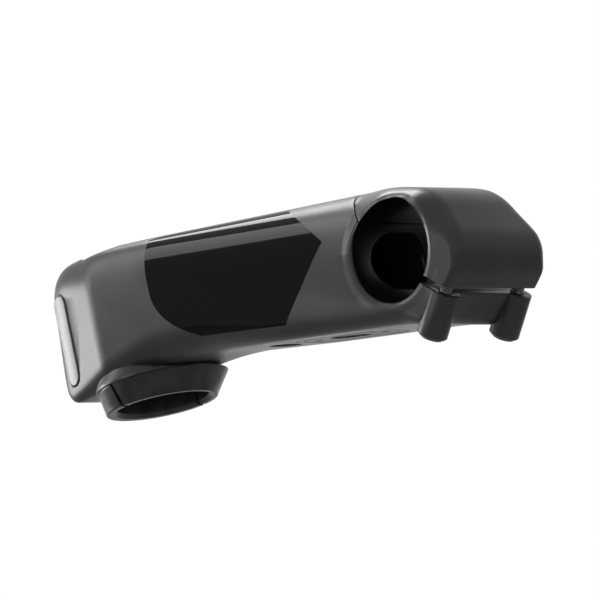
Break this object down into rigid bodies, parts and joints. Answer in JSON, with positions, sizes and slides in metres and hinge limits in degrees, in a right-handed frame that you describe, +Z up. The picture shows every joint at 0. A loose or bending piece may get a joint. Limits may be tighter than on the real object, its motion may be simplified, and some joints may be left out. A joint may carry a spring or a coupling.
{
  "type": "handlebar stem",
  "caption": "Handlebar stem with a hollow body, two-bolt bar clamp cap, side-entry pinch bolts behind push-in covers, an underside channel cover and a split collar.",
  "frame": {"origin": "on the steerer axis at the underside of the split collar", "axes": "+Z up the steerer axis, +X forward and square to the steerer towards the handlebar, Y across the bike with +Y to the rider's left"},
  "size_m": [0.1868, 0.042, 0.072],
  "materials": {
    "body_paint": "matte black paint on forged alloy with one gloss black panel",
    "cap_paint": "matte black paint",
    "cover_alloy": "satin black anodised plate",
    "bolt_steel": "black oxide steel",
    "rubber": "matte black rubber",
    "collar_plastic": "satin black moulded plastic"
  },
  "bodies": {
    "stem": {"stem_body": "body_paint", "cap_washer_left": "bolt_steel", "cap_washer_right": "bolt_steel", "pinch_washer_upper": "bolt_steel", "pinch_washer_lower": "bolt_steel", "pinch_nut_upper": "bolt_steel", "pinch_nut_lower": "bolt_steel"},
    "bar_cap": {"bar_cap": "cap_paint"},
    "cap_bolt_left": {"cap_bolt_left": "bolt_steel"},
    "cap_bolt_right": {"cap_bolt_right": "bolt_steel"},
    "pinch_bolt_upper": {"pinch_bolt_upper": "bolt_steel"},
    "pinch_bolt_lower": {"pinch_bolt_lower": "bolt_steel"},
    "bolt_cover_left": {"bolt_cover_left": "rubber"},
    "bolt_cover_right": {"bolt_cover_right": "rubber"},
    "channel_cover": {"channel_cover": "cover_alloy"},
    "cover_screw_front": {"cover_screw_front": "bolt_steel"},
    "cover_screw_rear": {"cover_screw_rear": "bolt_steel"},
    "port_plug": {"port_plug": "rubber"},
    "collar_front": {"collar_front": "collar_plastic"},
    "collar_rear": {"collar_rear": "collar_plastic"}
  },
  "joints": [
    {"name": "bar_cap_lift", "type": "slide", "parent": "stem", "child": "bar_cap", "axis": [0.6428, 0, 0.766], "range_m": [0, 0.02]},
    {"name": "cap_bolt_left_turn", "type": "hinge", "parent": "stem", "child": "cap_bolt_left", "pos_m": [0.13679, 0.0155, -0.01458], "axis": [0.6428, 0, 0.766], "continuous": true},
    {"name": "cap_bolt_right_turn", "type": "hinge", "parent": "stem", "child": "cap_bolt_right", "pos_m": [0.13679, -0.0155, -0.01458], "axis": [0.6428, 0, 0.766], "continuous": true},
    {"name": "pinch_bolt_upper_turn", "type": "hinge", "parent": "stem", "child": "pinch_bolt_upper", "pos_m": [-0.0223, 0, 0.037], "axis": [0, 1, 0], "continuous": true},
    {"name": "pinch_bolt_lower_turn", "type": "hinge", "parent": "stem", "child": "pinch_bolt_lower", "pos_m": [-0.0223, 0, 0.019], "axis": [0, -1, 0], "continuous": true},
    {"name": "bolt_cover_left_pull", "type": "slide", "parent": "stem", "child": "bolt_cover_left", "axis": [-0.264, 0.9645, 0], "range_m": [0, 0.008]},
    {"name": "bolt_cover_right_pull", "type": "slide", "parent": "stem", "child": "bolt_cover_right", "axis": [-0.264, -0.9645, 0], "range_m": [0, 0.008]},
    {"name": "channel_cover_drop", "type": "slide", "parent": "stem", "child": "channel_cover", "axis": [-0.1912, 0, -0.9816], "range_m": [0, 0.015]},
    {"name": "cover_screw_rear_turn", "type": "hinge", "parent": "channel_cover", "child": "cover_screw_rear", "pos_m": [0.07287, 0, -0.00034], "axis": [-0.1912, 0, -0.9816], "continuous": true},
    {"name": "cover_screw_front_turn", "type": "hinge", "parent": "channel_cover", "child": "cover_screw_front", "pos_m": [0.10134, 0, -0.00588], "axis": [-0.1912, 0, -0.9816], "continuous": true},
    {"name": "port_plug_pull", "type": "slide", "parent": "stem", "child": "port_plug", "axis": [-0.1305, 0, -0.9914], "range_m": [0, 0.008]},
    {"name": "collar_front_release", "type": "slide", "parent": "stem", "child": "collar_front", "axis": [0.9397, 0, -0.3419], "range_m": [0, 0.015]},
    {"name": "collar_rear_release", "type": "slide", "parent": "stem", "child": "collar_rear", "axis": [-0.9397, 0, -0.3419], "range_m": [0, 0.015]}
  ]
}
